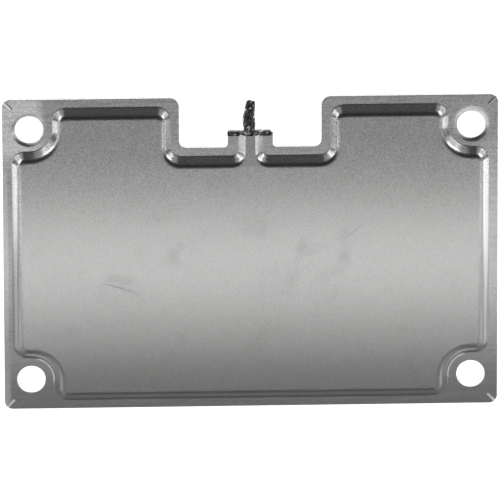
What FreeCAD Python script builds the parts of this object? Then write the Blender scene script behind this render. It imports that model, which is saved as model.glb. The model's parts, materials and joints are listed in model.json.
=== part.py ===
import FreeCAD, Part
import math
import os
import Sketcher

# A vapour chamber heat spreader: a flat base sheet and a pressed shell sheet, joined at a flange.
# The chamber between them holds two wicks with a field of columns between them. A fill tube lies in
# a neck that runs out along the tab. It is pinched flat, and black resin covers it and the tab's end.
# The plate lies flat: X is its long side, +Y the side with the notch and the tube, +Z the pan side.
# The origin is under the middle of the plate, on the face that it rests on.

doc = FreeCAD.newDocument("HeatSpreader")
sheet = doc.addObject("Spreadsheet::Sheet", "Sizes")
last_row = 0


def cell(alias, content, note=""):
    """One named size: a plain number, or a formula that starts with an equals sign."""
    global last_row
    last_row += 1
    sheet.set(f"A{last_row}", alias)
    sheet.set(f"B{last_row}", str(content))
    sheet.set(f"C{last_row}", note)
    sheet.setAlias(f"B{last_row}", alias)


# Driving sizes, in millimetres and degrees

cell("plate_length", 105.5, "overall, along X")
cell("plate_width", 69.4, "overall, along Y")
cell("plate_corner_radius", 1.8)
cell("base_thickness", 0.7, "flat lower sheet")
cell("shell_thickness", 0.7, "pressed upper sheet")

cell("hole_edge_x", 5.75, "from a screw hole's centre to the end of the plate")
cell("hole_edge_y", 6.7, "from a screw hole's centre to the long side of the plate")
cell("hole_diameter", 6)
cell("hole_rim", 0.3, "bevel round the upper rim of each screw hole")

cell("notch_width", 30.2)
cell("notch_depth", 11.1)
cell("notch_lip_radius", 2.0)
cell("notch_floor_radius", 1.5)
cell("tab_width", 9.7)
cell("tab_reach", 2.9, "from the notch floor to the end of the tab")
cell("tab_root_radius", 0.7)
cell("tab_corner_radius", 0.4)

cell("flange_width", 1.95, "from the blanked edge to the foot of the step")
cell("pan_rise", 1.6)
cell("wall_taper", 45, "lean of the step from the upright, in degrees")
cell("pan_corner_radius", 3.0, "foot of the step at an outer corner")
cell("pan_bay_radius", 4.9, "foot of the step round a screw hole")
cell("pan_bend_radius", 2.0, "foot of the step at a corner of the notch")
cell("foot_radius", 0.45, "outside, where the step leaves the flange")
cell("crown_radius", 1.4, "outside, where the step meets the top")

cell("neck_width", 5.2, "from foot to foot")
cell("neck_root_radius", 1.2)
cell("neck_drop", 0.2, "how far the neck lies below the pan")
cell("neck_ramp", 2.2, "length of the slope down to the neck")
cell("neck_ramp_start", 0.7, "from the edge of the pan's top to the slope")

cell("column_diameter", 3)
cell("column_files", 4, "across the length of the plate, an even number")
cell("column_rows", 3, "across its width, an odd number")
cell("column_end_share", 0.25, "part of a pitch that the ends of the pan take in all")
cell("column_room", 4.9, "from the axes of the back row to the edge of the roof wick at the notch")

cell("base_wick_thickness", 0.4)
cell("shell_wick_thickness", 0.3)
cell("wick_gap", 0.1, "from a wick to the walls")

cell("tube_clearance", 0.08, "round the tube in the neck")
cell("tube_wall", 0.2)
cell("tube_inner_gap", 0.4, "from the base wick to the open end of the tube")
cell("tube_round_reach", 0.9, "from the end of the tab to the start of the pinch")
cell("tube_flat_reach", 2.9, "from the end of the tab to the flat of the pinch")
cell("tube_tip_reach", 6.6, "from the end of the tab to the closed tip of the tube")
cell("tube_flat_width", 1.7)
cell("tube_flat_height", 0.7)
cell("tube_shoulder", 0.03, "step that the jaws leave at each side where the pinch starts")
cell("tube_squeeze", 0.1, "how far the tube is flattened where the pinch starts")

cell("braze_length", 2.0)
cell("braze_gap", 0.05, "from the filler to the sloping walls of the neck and to the tube")

cell("seal_wrap", 0.45, "resin on the top of the tab, and in the mouth of the neck")
cell("seal_depth", 0.3, "resin on the end of the tab")
cell("seal_skin", 0.15, "resin above the tab and the neck")
cell("seal_underside", 0.1, "from the resting face up to the resin")
cell("seal_root_width", 3.3)
cell("seal_root_height", 1.8)
cell("seal_waist_reach", 1.0, "from the end of the tab")
cell("seal_waist_width", 2.5)
cell("seal_waist_height", 1.7)
cell("seal_belly_reach", 3.4)
cell("seal_belly_width", 2.85)
cell("seal_belly_height", 1.9)
cell("seal_shoulder_reach", 5.9)
cell("seal_shoulder_width", 2.1)
cell("seal_shoulder_height", 1.5)
cell("seal_tip_reach", 7.2)
cell("seal_tip_width", 1.5)
cell("seal_tip_height", 1.1)

cell("groove_length", 2.2, "staking mark on the diagonal of each corner")
cell("groove_width", 0.6)

# Sizes that follow from them

HALF_TURN_OF_STEP = "tan((90 - wall_taper) / 2)"

cell("plate_right", "=plate_length / 2")
cell("plate_back", "=plate_width / 2")
cell("hole_x", "=plate_right - hole_edge_x", "half of the 94 mm screw spacing")
cell("hole_y", "=plate_back - hole_edge_y", "half of the 56 mm screw spacing")
cell("hole_radius", "=hole_diameter / 2")
cell("notch_side", "=notch_width / 2")
cell("notch_floor", "=plate_back - notch_depth")
cell("tab_side", "=tab_width / 2")
cell("tab_end", "=notch_floor + tab_reach")

cell("wall_run", "=pan_rise * tan(wall_taper)", "the step's width on plan")
cell("wall_inset", f"=shell_thickness * {HALF_TURN_OF_STEP}", "outer foot to inner foot")
cell("shell_top", "=shell_thickness + pan_rise")

cell("neck_side", "=neck_width / 2")
cell("neck_rise", "=pan_rise - neck_drop")
cell("neck_run", "=neck_rise * tan(wall_taper)")
cell("neck_top", "=shell_thickness + neck_rise")
cell("ramp_start", "=notch_floor - flange_width - wall_run + neck_ramp_start")
cell("ramp_end", "=ramp_start + neck_ramp")
cell("ramp_headroom", "=shell_top + neck_drop")
cell("ramp_span", "=notch_width + 2 * flange_width")
cell("channel_floor", "=neck_side - wall_inset")
cell("channel_roof", "=channel_floor - neck_run")

cell("column_radius", "=column_diameter / 2")
cell("column_pitch_x", "=2 * (plate_right - flange_width) / (column_files + column_end_share)")
cell("column_height", "=pan_rise - base_wick_thickness - shell_wick_thickness")
cell("column_level", "=base_thickness + base_wick_thickness")

cell("tube_radius", "=neck_rise / 2 - tube_clearance")
cell("tube_bore", "=tube_radius - tube_wall")
cell("tube_level", "=base_thickness + neck_rise / 2")
cell("tube_width", "=2 * tube_radius")
cell("tube_pinch_width", "=tube_width - 2 * tube_shoulder")
cell("tube_pinch_height", "=tube_pinch_width - tube_squeeze")
cell("tube_round_end", "=tab_end + tube_round_reach")
cell("tube_flat_start", "=tab_end + tube_flat_reach")
cell("tube_tip", "=tab_end + tube_tip_reach")

cell("braze_front", "=tab_end - seal_wrap")
cell("braze_floor", "=channel_floor - braze_gap / cos(wall_taper)")
cell("braze_roof", "=braze_floor - neck_run")
cell("braze_bore", "=tube_radius + braze_gap")
cell("roof_level", "=base_thickness + neck_rise", "underside of the neck's roof")

cell("seal_back", "=tab_end + seal_depth")
cell("seal_length", "=seal_wrap + seal_depth")
cell("seal_step", "=base_thickness + shell_thickness + seal_skin")
cell("seal_high", "=base_thickness + neck_top + seal_skin")
cell("seal_foot", f"=neck_side + seal_skin * {HALF_TURN_OF_STEP}")
cell("seal_crown", "=seal_foot - neck_run")
cell("seal_waist", "=tab_end + seal_waist_reach")
cell("seal_belly", "=tab_end + seal_belly_reach")
cell("seal_shoulder", "=tab_end + seal_shoulder_reach")
cell("seal_tip", "=tab_end + seal_tip_reach")

cell("groove_side", "=groove_width / sqrt(2)")
cell("groove_bottom", "=shell_thickness - groove_width / 2")
cell("groove_bar", "=groove_length + plate_corner_radius")
cell("groove_back", "=plate_corner_radius * (1 - 1 / sqrt(2)) + groove_length / sqrt(2)")
cell("groove_x", "=plate_right - groove_back")
cell("groove_y", "=plate_back - groove_back")


def outline_cells(name, inset):
    """Cells for the outline of the pan, moved inwards everywhere by a formula."""
    cell(name + "_inset", inset)
    cell(name + "_right", f"=plate_right - flange_width - {name}_inset")
    cell(name + "_back", f"=plate_back - flange_width - {name}_inset")
    cell(name + "_bay_x", f"=hole_x - pan_bay_radius - {name}_inset")
    cell(name + "_bay_y", f"=hole_y - pan_bay_radius - {name}_inset")
    cell(name + "_notch_x", f"=notch_side + flange_width + {name}_inset")
    cell(name + "_notch_y", f"=notch_floor - flange_width - {name}_inset")
    cell(name + "_corner", f"=pan_corner_radius - {name}_inset")
    cell(name + "_bay", f"=pan_bay_radius + {name}_inset")
    cell(name + "_bend", f"=pan_bend_radius + {name}_inset")


outline_cells("pan", "=0")
outline_cells("cavity", "=wall_inset")
outline_cells("base_wick", "=wall_inset + base_wick_thickness * tan(wall_taper) + wick_gap")
outline_cells("shell_wick", "=wall_inset + wall_run + wick_gap")
cell("column_pitch_y", "=2 * (shell_wick_notch_y - column_room) / (column_rows - 1)")
cell("shell_wick_level", "=base_thickness + pan_rise - shell_wick_thickness")
cell("tube_start", "=base_wick_notch_y + tube_inner_gap")
cell("tube_round_length", "=tube_round_end - tube_start")
doc.recompute()


def size(name):
    """The value of a cell. A leading minus gives the mirrored place, and no name gives zero."""
    if name is None:
        return 0.0
    if name.startswith("-"):
        return -size(name[1:])
    return float(sheet.get(name))


def mirrored(half):
    """The right half of an outline, from front to back, followed by its mirror image."""
    return half + [("-" + x, y, radius) for x, y, radius in reversed(half)]


def plate_outline():
    """Corners of the blanked sheets, each with the cell of its radius."""
    return mirrored(
        [
            ("plate_right", "-plate_back", "plate_corner_radius"),
            ("plate_right", "plate_back", "plate_corner_radius"),
            ("notch_side", "plate_back", "notch_lip_radius"),
            ("notch_side", "notch_floor", "notch_floor_radius"),
            ("tab_side", "notch_floor", "tab_root_radius"),
            ("tab_side", "tab_end", "tab_corner_radius"),
        ]
    )


def pan_outline(name, neck=()):
    """Corners of the pan at one inset. With a neck, its sides run on past the end of the tab."""
    half = [
        (name + "_bay_x", f"-{name}_back", name + "_corner"),
        (name + "_bay_x", f"-{name}_bay_y", name + "_bay"),
        (name + "_right", f"-{name}_bay_y", name + "_corner"),
        (name + "_right", name + "_bay_y", name + "_corner"),
        (name + "_bay_x", name + "_bay_y", name + "_bay"),
        (name + "_bay_x", name + "_back", name + "_corner"),
        (name + "_notch_x", name + "_back", name + "_corner"),
        (name + "_notch_x", name + "_notch_y", name + "_bend"),
    ]
    return mirrored(half + list(neck))


NECK = (
    ("neck_side", "pan_notch_y", "neck_root_radius"),
    ("neck_side", "plate_back", None),
)


def dimension(sketch, constraint, name):
    """Add a dimension to a sketch and tie it to a cell."""
    index = sketch.addConstraint(constraint)
    sketch.setExpression(f"Constraints[{index}]", "Sizes." + name.lstrip("-"))


def hold_point(sketch, kind, curve, point, name):
    """Hold one coordinate of a point at a cell's distance from the origin, or at zero with no name."""
    if name is None:
        axis = -2 if kind == "DistanceX" else -1
        sketch.addConstraint(Sketcher.Constraint("PointOnObject", curve, point, axis))
        return
    value = size(name)
    ends = (-1, 1, curve, point) if value > 0 else (curve, point, -1, 1)
    dimension(sketch, Sketcher.Constraint(kind, *ends, abs(value)), name)


def rounded_outline(sketch, corners):
    """A closed outline of level and upright lines, with an arc at each corner that has a radius."""
    points = [FreeCAD.Vector(size(x), size(y), 0) for x, y, _ in corners]
    radii = [size(radius) for _, _, radius in corners]
    count = len(corners)
    ways = [(points[(i + 1) % count] - points[i]).normalize() for i in range(count)]
    lines, arcs = [], []
    for i in range(count):
        start = points[i] + ways[i] * radii[i]
        end = points[(i + 1) % count] - ways[i] * radii[(i + 1) % count]
        lines.append(sketch.addGeometry(Part.LineSegment(start, end), False))
    for i in range(count):
        if not radii[i]:
            arcs.append(None)
            continue
        before, after = ways[i - 1], ways[i]
        centre = points[i] + (after - before) * radii[i]
        turns_left = before.cross(after).z > 0
        first = -after if turns_left else before
        angle = math.atan2(first.y, first.x)
        circle = Part.Circle(centre, FreeCAD.Vector(0, 0, 1), radii[i])
        arc = sketch.addGeometry(Part.ArcOfCircle(circle, angle, angle + math.pi / 2), False)
        arcs.append((arc, 1, 2) if turns_left else (arc, 2, 1))
    for i in range(count):
        level = abs(ways[i].x) > abs(ways[i].y)
        sketch.addConstraint(Sketcher.Constraint("Horizontal" if level else "Vertical", lines[i]))
        if arcs[i]:
            arc, entry, leave = arcs[i]
            sketch.addConstraint(Sketcher.Constraint("Tangent", lines[i - 1], 2, arc, entry))
            sketch.addConstraint(Sketcher.Constraint("Tangent", arc, leave, lines[i], 1))
            dimension(sketch, Sketcher.Constraint("Radius", arc, radii[i]), corners[i][2])
        else:
            sketch.addConstraint(Sketcher.Constraint("Coincident", lines[i - 1], 2, lines[i], 1))
        if level:
            hold_point(sketch, "DistanceY", lines[i], 1, corners[i][1])
        else:
            hold_point(sketch, "DistanceX", lines[i], 1, corners[i][0])


def polygon(sketch, places):
    """A closed outline of straight lines between named places."""
    points = [FreeCAD.Vector(size(x), size(y), 0) for x, y in places]
    count = len(points)
    for i in range(count):
        sketch.addGeometry(Part.LineSegment(points[i], points[(i + 1) % count]), False)
    for i, (x, y) in enumerate(places):
        sketch.addConstraint(Sketcher.Constraint("Coincident", i, 2, (i + 1) % count, 1))
        hold_point(sketch, "DistanceX", i, 1, x)
        hold_point(sketch, "DistanceY", i, 1, y)


def circles(sketch, places, radius):
    """Equal circles at named places."""
    for x, y in places:
        centre = FreeCAD.Vector(size(x), size(y), 0)
        circle = Part.Circle(centre, FreeCAD.Vector(0, 0, 1), size(radius))
        curve = sketch.addGeometry(circle, False)
        hold_point(sketch, "DistanceX", curve, 3, x)
        hold_point(sketch, "DistanceY", curve, 3, y)
        dimension(sketch, Sketcher.Constraint("Radius", curve, size(radius)), radius)


def slot(sketch, level, width, height):
    """A level slot with round ends, its middle straight above the sketch's origin."""
    radius = size(height) / 2
    side = size(width) / 2 - radius
    up = FreeCAD.Vector(0, radius, 0)
    quarter = math.pi / 2
    ends = [FreeCAD.Vector(x, size(level), 0) for x in (side, -side)]
    for i, end in enumerate(ends):
        circle = Part.Circle(end, FreeCAD.Vector(0, 0, 1), radius)
        sketch.addGeometry(Part.ArcOfCircle(circle, (2 * i - 1) * quarter, (2 * i + 1) * quarter), False)
        far_end = ends[1 - i]
        sketch.addGeometry(Part.LineSegment(end + up, far_end + up), False)
        up = -up
    for i in range(4):
        sketch.addConstraint(Sketcher.Constraint("Tangent", i, 2, (i + 1) % 4, 1))
    sketch.addConstraint(Sketcher.Constraint("Equal", 0, 2))
    sketch.addConstraint(Sketcher.Constraint("Symmetric", 0, 3, 2, 3, -2))
    hold_point(sketch, "DistanceY", 0, 3, level)
    index = sketch.addConstraint(Sketcher.Constraint("Radius", 0, radius))
    sketch.setExpression(f"Constraints[{index}]", f"Sizes.{height} / 2")
    index = sketch.addConstraint(Sketcher.Constraint("DistanceX", 2, 3, 0, 3, 2 * side))
    sketch.setExpression(f"Constraints[{index}]", f"Sizes.{width} - Sizes.{height}")


def new_body(name):
    return doc.addObject("PartDesign::Body", name)


def new_sketch(body, name, plane="XY_Plane", offset=None):
    """A sketch on one of the body's own planes, moved along its normal by an expression."""
    sketch = body.newObject("Sketcher::SketchObject", name)
    support = [feature for feature in body.Origin.OriginFeatures if feature.Role == plane][0]
    sketch.AttachmentSupport = [(support, "")]
    sketch.MapMode = "FlatFace"
    if offset:
        sketch.setExpression(".AttachmentOffset.Base.z", offset)
    return sketch


def feature_of(body, kind, name, sketch, length=None, taper=None, **settings):
    """A pad or a pocket of a sketch, through everything where it has no length."""
    feature = body.newObject("PartDesign::" + kind, name)
    feature.Profile = sketch
    if length:
        feature.setExpression("Length", "Sizes." + length)
    else:
        feature.Type = "ThroughAll"
    if taper:
        feature.setExpression("TaperAngle", taper)
    for setting, value in settings.items():
        setattr(feature, setting, value)
    doc.recompute()
    return feature


def rounding(body, name, base, edges, radius):
    """A fillet on named edges of the body's last feature."""
    feature = body.newObject("PartDesign::Fillet", name)
    feature.Base = (base, edges)
    feature.setExpression("Radius", "Sizes." + radius)
    doc.recompute()
    return feature


def loft(body, name, sections):
    """A ruled skin through sketches that lie one behind the other."""
    feature = body.newObject("PartDesign::AdditiveLoft", name)
    feature.Profile = sections[0]
    feature.Sections = sections[1:]
    feature.Ruled = True
    doc.recompute()
    return feature


def tilt(face):
    """The upward share of a face's normal, at the middle of the face."""
    low_u, high_u, low_v, high_v = face.ParameterRange
    return face.normalAt((low_u + high_u) / 2, (low_v + high_v) / 2).z


def level_at(low, high=None):
    """A test for level faces, or nearly level ones, at a height or between two heights."""
    hair = 0.01
    top = low if high is None else high
    return lambda face: abs(tilt(face)) > 0.98 and low - hair < face.CenterOfMass.z < top + hair


def is_step(face):
    return 0.3 < abs(tilt(face)) < 0.95


def is_screw_hole(face):
    round_face = isinstance(face.Surface, Part.Cylinder)
    return round_face and abs(face.Surface.Radius - size("hole_radius")) < 0.001


def edges_between(shape, first, second):
    """Names of the edges that a face of the first kind shares with one of the second kind."""
    neighbours = {}
    for face in shape.Faces:
        kinds = (first(face), second(face))
        for edge in face.Edges:
            neighbours.setdefault(edge.hashCode(), []).append(kinds)
    names = []
    for number, edge in enumerate(shape.Edges, 1):
        beside = neighbours[edge.hashCode()]
        if len(beside) == 2:
            one, other = beside
            if (one[0] and other[1]) or (other[0] and one[1]):
                names.append(f"Edge{number}")
    return names


def screw_holes(body):
    sketch = new_sketch(body, "screw_hole_circles")
    places = [(x, y) for x in ("hole_x", "-hole_x") for y in ("hole_y", "-hole_y")]
    circles(sketch, places, "hole_radius")
    return feature_of(body, "Pocket", "screw_holes", sketch, Reversed=True)


def make_base_sheet():
    """The flat sheet, blanked with its notch, its tab and its screw holes."""
    body = new_body("base_sheet")
    outline = new_sketch(body, "base_outline")
    rounded_outline(outline, plate_outline())
    feature_of(body, "Pad", "base_blank", outline, "base_thickness")
    screw_holes(body)
    return body


def press_pan(body):
    """The outside of the pressing: flange, stepped pan, and the neck that runs out along the tab."""
    flange = new_sketch(body, "flange_outline")
    rounded_outline(flange, plate_outline())
    feature_of(body, "Pad", "flange", flange, "shell_thickness")
    outline = new_sketch(body, "pan_outline", offset="Sizes.shell_thickness")
    rounded_outline(outline, pan_outline("pan", NECK))
    feature_of(body, "Pad", "pan", outline, "pan_rise", "-Sizes.wall_taper")
    trim = new_sketch(body, "tab_trim_outline")
    polygon(
        trim,
        [
            ("-notch_side", "tab_end"),
            ("notch_side", "tab_end"),
            ("notch_side", "plate_back"),
            ("-notch_side", "plate_back"),
        ],
    )
    feature_of(body, "Pocket", "tab_trim", trim, Reversed=True)
    ramp = new_sketch(body, "neck_ramp_profile", "YZ_Plane")
    polygon(
        ramp,
        [
            ("ramp_start", "shell_top"),
            ("ramp_end", "neck_top"),
            ("plate_back", "neck_top"),
            ("plate_back", "ramp_headroom"),
            ("ramp_start", "ramp_headroom"),
        ],
    )
    lowered = feature_of(body, "Pocket", "neck_ramp", ramp, "ramp_span", Midplane=True)
    top_faces = level_at(size("neck_top"), size("shell_top"))
    crown = rounding(body, "crown", lowered, edges_between(lowered.Shape, top_faces, is_step), "crown_radius")
    flange_top = level_at(size("shell_thickness"))
    foot = rounding(body, "foot", crown, edges_between(crown.Shape, flange_top, is_step), "foot_radius")
    return foot


def hollow_pan(body):
    """The inside of the pressing, parallel to the outside, and the channel through the neck."""
    outline = new_sketch(body, "cavity_outline")
    rounded_outline(outline, pan_outline("cavity"))
    feature_of(body, "Pocket", "cavity", outline, "pan_rise", "-Sizes.wall_taper", Reversed=True)
    profile = new_sketch(body, "channel_profile", "XZ_Plane")
    polygon(
        profile,
        [
            ("-channel_floor", None),
            ("channel_floor", None),
            ("channel_roof", "neck_rise"),
            ("-channel_roof", "neck_rise"),
        ],
    )
    feature_of(body, "Pocket", "channel", profile)


def make_shell_sheet():
    """The pressed sheet with its bevelled holes, and a staking mark at each corner."""
    body = new_body("shell_pressing")
    press_pan(body)
    hollow_pan(body)
    holes = screw_holes(body)
    rim_edges = edges_between(holes.Shape, level_at(size("shell_thickness")), is_screw_hole)
    rims = body.newObject("PartDesign::Chamfer", "hole_rims")
    rims.Base = (holes, rim_edges)
    rims.setExpression("Size", "Sizes.hole_rim")
    marks = doc.addObject("Part::MultiFuse", "staking_marks")
    marks.Shapes = [staking_bar(x, y) for x in (-1, 1) for y in (-1, 1)]
    marked = doc.addObject("Part::Cut", "shell_sheet")
    marked.Base = body
    marked.Tool = marks
    marked.setExpression("Placement.Base.z", "Sizes.base_thickness")
    return marked


def staking_bar(x_side, y_side):
    """A square bar laid on its edge along a corner's diagonal. It cuts a right-angled groove."""
    bar = doc.addObject("Part::Box", "staking_bar")
    bar.setExpression("Length", "Sizes.groove_bar")
    bar.setExpression("Width", "Sizes.groove_side")
    bar.setExpression("Height", "Sizes.groove_side")
    on_edge = FreeCAD.Rotation(FreeCAD.Vector(1, 0, 0), 45)
    outwards = FreeCAD.Rotation(FreeCAD.Vector(0, 0, 1), math.degrees(math.atan2(y_side, x_side)))
    bar.Placement.Rotation = outwards.multiply(on_edge)
    bar.setExpression("Placement.Base.x", f"{x_side} * Sizes.groove_x")
    bar.setExpression("Placement.Base.y", f"{y_side} * Sizes.groove_y")
    bar.setExpression("Placement.Base.z", "Sizes.groove_bottom")
    return bar


def column_grid():
    """Cells for the files and rows of the columns, and the places where they cross."""
    files, rows = [], [None]
    for number in range(int(size("column_files")) // 2):
        cell(f"column_file_{number}", f"=column_pitch_x * {number + 0.5}")
        files += [f"-column_file_{number}", f"column_file_{number}"]
    for number in range(1, int(size("column_rows")) // 2 + 1):
        cell(f"column_row_{number}", f"=column_pitch_y * {number}")
        rows += [f"-column_row_{number}", f"column_row_{number}"]
    doc.recompute()
    files.sort(key=size)
    rows.sort(key=size)
    return [(x, y) for y in rows for x in files]


def make_wick(label, thickness, level):
    """A flat layer of sintered copper that follows the chamber's outline."""
    body = new_body(label)
    outline = new_sketch(body, label + "_outline")
    rounded_outline(outline, pan_outline(label))
    feature_of(body, "Pad", label + "_layer", outline, thickness)
    body.setExpression("Placement.Base.z", "Sizes." + level)
    return body


def make_wicks_and_columns():
    """A wick on the base, one under the roof, and columns of the same copper between the two."""
    base_wick = make_wick("base_wick", "base_wick_thickness", "base_thickness")
    shell_wick = make_wick("shell_wick", "shell_wick_thickness", "shell_wick_level")
    columns = []
    for number, (x, y) in enumerate(column_grid(), 1):
        column = doc.addObject("Part::Cylinder", f"wick_column_{number:02d}")
        column.setExpression("Radius", "Sizes.column_radius")
        column.setExpression("Height", "Sizes.column_height")
        for axis, name in (("x", x), ("y", y)):
            if name:
                place = name.replace("column", "Sizes.column", 1)
                column.setExpression(f"Placement.Base.{axis}", place)
        column.setExpression("Placement.Base.z", "Sizes.column_level")
        columns.append(column)
    return [base_wick, shell_wick] + columns


def cross_section(body, name, station):
    """A sketch across the tube at a station along Y. Its plane faces the front."""
    return new_sketch(body, name, "XZ_Plane", "-Sizes." + station)


def slot_section(body, name, station, width, height):
    sketch = cross_section(body, name, station)
    slot(sketch, "tube_level", width, height)
    return sketch


def round_length(name, radius):
    """A round bar as long as the round part of the fill tube."""
    body = new_body(name)
    circle = cross_section(body, name + "_circle", "tube_round_end")
    circles(circle, [(None, "tube_level")], radius)
    feature_of(body, "Pad", name + "_bar", circle, "tube_round_length")
    return body


def make_fill_tube():
    """A thin tube, round in the neck, and pinched flat and shut outside it."""
    outside = round_length("tube_outside", "tube_radius")
    loft(
        outside,
        "tube_pinch",
        [
            slot_section(outside, "pinch_start", "tube_round_end", "tube_pinch_width", "tube_pinch_height"),
            slot_section(outside, "pinch_flat", "tube_flat_start", "tube_flat_width", "tube_flat_height"),
            slot_section(outside, "pinch_tip", "tube_tip", "tube_flat_width", "tube_flat_height"),
        ],
    )
    tube = doc.addObject("Part::Cut", "fill_tube")
    tube.Base = outside
    tube.Tool = round_length("tube_core", "tube_bore")
    doc.recompute()
    return tube, outside


def make_neck_braze():
    """Filler between the tube and the walls of the neck, ending behind the resin in its mouth."""
    body = new_body("neck_braze")
    profile = cross_section(body, "braze_profile", "braze_front")
    polygon(
        profile,
        [
            ("-braze_floor", "base_thickness"),
            ("braze_floor", "base_thickness"),
            ("braze_roof", "roof_level"),
            ("-braze_roof", "roof_level"),
        ],
    )
    feature_of(body, "Pad", "braze_block", profile, "braze_length")
    bore = cross_section(body, "braze_bore_circle", "braze_front")
    circles(bore, [(None, "tube_level")], "braze_bore")
    feature_of(body, "Pocket", "braze_bore", bore, Reversed=True)
    return body


def make_resin_seal(carriers):
    """Black resin round the pinched tube, over the end of the tab and in the mouth of the neck."""
    sleeve = new_body("resin_sleeve")
    sections = [("seal_root", "tab_end")] + [
        (name, name) for name in ("seal_waist", "seal_belly", "seal_shoulder", "seal_tip")
    ]
    rings = [
        slot_section(sleeve, name + "_ring", station, name + "_width", name + "_height")
        for name, station in sections
    ]
    loft(sleeve, "resin_sleeve_skin", rings)
    bead = new_body("resin_bead")
    profile = cross_section(bead, "resin_bead_profile", "seal_back")
    polygon(
        profile,
        [
            ("-tab_side", "seal_underside"),
            ("tab_side", "seal_underside"),
            ("tab_side", "seal_step"),
            ("seal_foot", "seal_step"),
            ("seal_crown", "seal_high"),
            ("-seal_crown", "seal_high"),
            ("-seal_foot", "seal_step"),
            ("-tab_side", "seal_step"),
        ],
    )
    feature_of(bead, "Pad", "resin_bead_block", profile, "seal_length")
    blank = doc.addObject("Part::Fuse", "resin_blank")
    blank.Base = sleeve
    blank.Tool = bead
    room = doc.addObject("Part::MultiFuse", "resin_room")
    room.Shapes = carriers
    seal = doc.addObject("Part::Cut", "resin_seal")
    seal.Base = blank
    seal.Tool = room
    doc.recompute()
    return seal


def checked(pieces):
    """Stop if any object of the document failed, or a piece is not one sound solid."""
    failed = [item.Name for item in doc.Objects if {"Invalid", "Error"} & set(item.State)]
    if failed:
        raise RuntimeError("these objects failed: " + ", ".join(failed))
    for piece in pieces:
        shape = piece.Shape
        if shape.isNull() or not shape.isValid() or len(shape.Solids) != 1:
            raise RuntimeError(piece.Label + " is not one sound solid")


base_sheet = make_base_sheet()
shell_sheet = make_shell_sheet()
fill_tube, tube_outside = make_fill_tube()
pieces = [base_sheet, shell_sheet, fill_tube, make_neck_braze()]
pieces.append(make_resin_seal([base_sheet, shell_sheet, tube_outside]))
pieces += make_wicks_and_columns()
doc.recompute()
checked(pieces)

os.makedirs("parts", exist_ok=True)
total = 0
for piece in pieces:
    piece.Shape.exportStep(f"parts/{piece.Label}.step")
    total += piece.Shape.Volume
    print(f"{piece.Label}: {piece.Shape.Volume:.2f} cubic millimetres")
print(f"{len(pieces)} pieces, {total:.1f} cubic millimetres of material")
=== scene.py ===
# %% [markdown]
# # Dressing a heat spreader plate
#
# The object is a vapour chamber: two thin nickel plated copper sheets, joined round a flat flange. The
# upper sheet is pressed into a low pan, so that a flat chamber lies between the two. A notch in one long
# side leaves room for a small tab with the fill tube, and black resin seals the tube.
#
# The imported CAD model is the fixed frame. This lesson models the visible sheets and the resin again, with
# softer edges and pressing marks, and gives every piece a finish made of shader nodes.

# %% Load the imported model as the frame
import json
import math

import bmesh
import bpy
from mathutils import Matrix, Vector

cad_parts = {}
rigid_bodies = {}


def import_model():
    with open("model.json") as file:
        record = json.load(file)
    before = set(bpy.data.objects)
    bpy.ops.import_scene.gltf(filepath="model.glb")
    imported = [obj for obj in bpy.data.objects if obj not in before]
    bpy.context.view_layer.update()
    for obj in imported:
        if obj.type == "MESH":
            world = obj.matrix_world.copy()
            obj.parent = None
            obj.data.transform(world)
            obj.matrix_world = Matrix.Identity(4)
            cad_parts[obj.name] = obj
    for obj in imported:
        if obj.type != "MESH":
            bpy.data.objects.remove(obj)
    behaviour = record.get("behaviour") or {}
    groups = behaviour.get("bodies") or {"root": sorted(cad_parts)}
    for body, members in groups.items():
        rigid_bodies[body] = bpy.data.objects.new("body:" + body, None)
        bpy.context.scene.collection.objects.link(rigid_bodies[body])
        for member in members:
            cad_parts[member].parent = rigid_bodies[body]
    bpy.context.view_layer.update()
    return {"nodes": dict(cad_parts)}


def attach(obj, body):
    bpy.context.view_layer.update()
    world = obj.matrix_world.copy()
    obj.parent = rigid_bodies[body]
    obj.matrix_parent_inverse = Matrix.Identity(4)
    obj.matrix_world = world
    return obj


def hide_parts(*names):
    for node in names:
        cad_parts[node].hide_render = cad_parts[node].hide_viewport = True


for item in list(bpy.data.objects):
    bpy.data.objects.remove(item)
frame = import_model()
nodes = frame["nodes"]
print("The frame has", len(nodes), "nodes")

# %% [markdown]
# ## The camera
#
# The plate was photographed with a long lens, from almost straight above and a little towards the notch.
# A camera has three axes of its own: right, up, and back towards the photographer. Three small turns take
# the plate's axes to the camera's, and the rows of that rotation are the camera's axes in the scene.

# %% Place the camera
SENSOR_WIDTH = 36
PICTURE_PIXELS = 500
FOCAL_PIXELS = 10598
STANDPOINT = (-0.00010, 0.00004, 2.261)
turn_in_picture = Matrix.Rotation(math.radians(0.74), 3, "Z")
lean_sideways = Matrix.Rotation(math.radians(1.64), 3, "Y")
lean_back = Matrix.Rotation(math.radians(18.48), 3, "X")
to_camera = turn_in_picture @ lean_sideways @ lean_back
camera_data = bpy.data.cameras.new("camera")
camera_data.sensor_width = SENSOR_WIDTH
camera_data.lens = FOCAL_PIXELS / PICTURE_PIXELS * SENSOR_WIDTH
camera_data.clip_end = 20
camera = bpy.data.objects.new("camera", camera_data)
bpy.context.scene.collection.objects.link(camera)
standpoint = to_camera.transposed() @ Vector(STANDPOINT)
camera.matrix_world = Matrix.Translation(standpoint) @ to_camera.transposed().to_4x4()
bpy.context.scene.camera = camera
print("The camera stands", round(standpoint.length, 3), "m away")

# %% [markdown]
# ## Working in edit mode from a script
#
# The sheets are small, and Blender's tools merge points that are a tenth of a millimetre apart when a unit
# is a metre. So each piece is modelled with one unit to the millimetre, and shrunk to metres at the end.
# An operator acts on all that is selected, so a small helper picks points, edges or faces by their place.

# %% Helpers for picking and finishing
PICKED = {"VERT": "verts", "EDGE": "edges", "FACE": "faces"}


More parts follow.
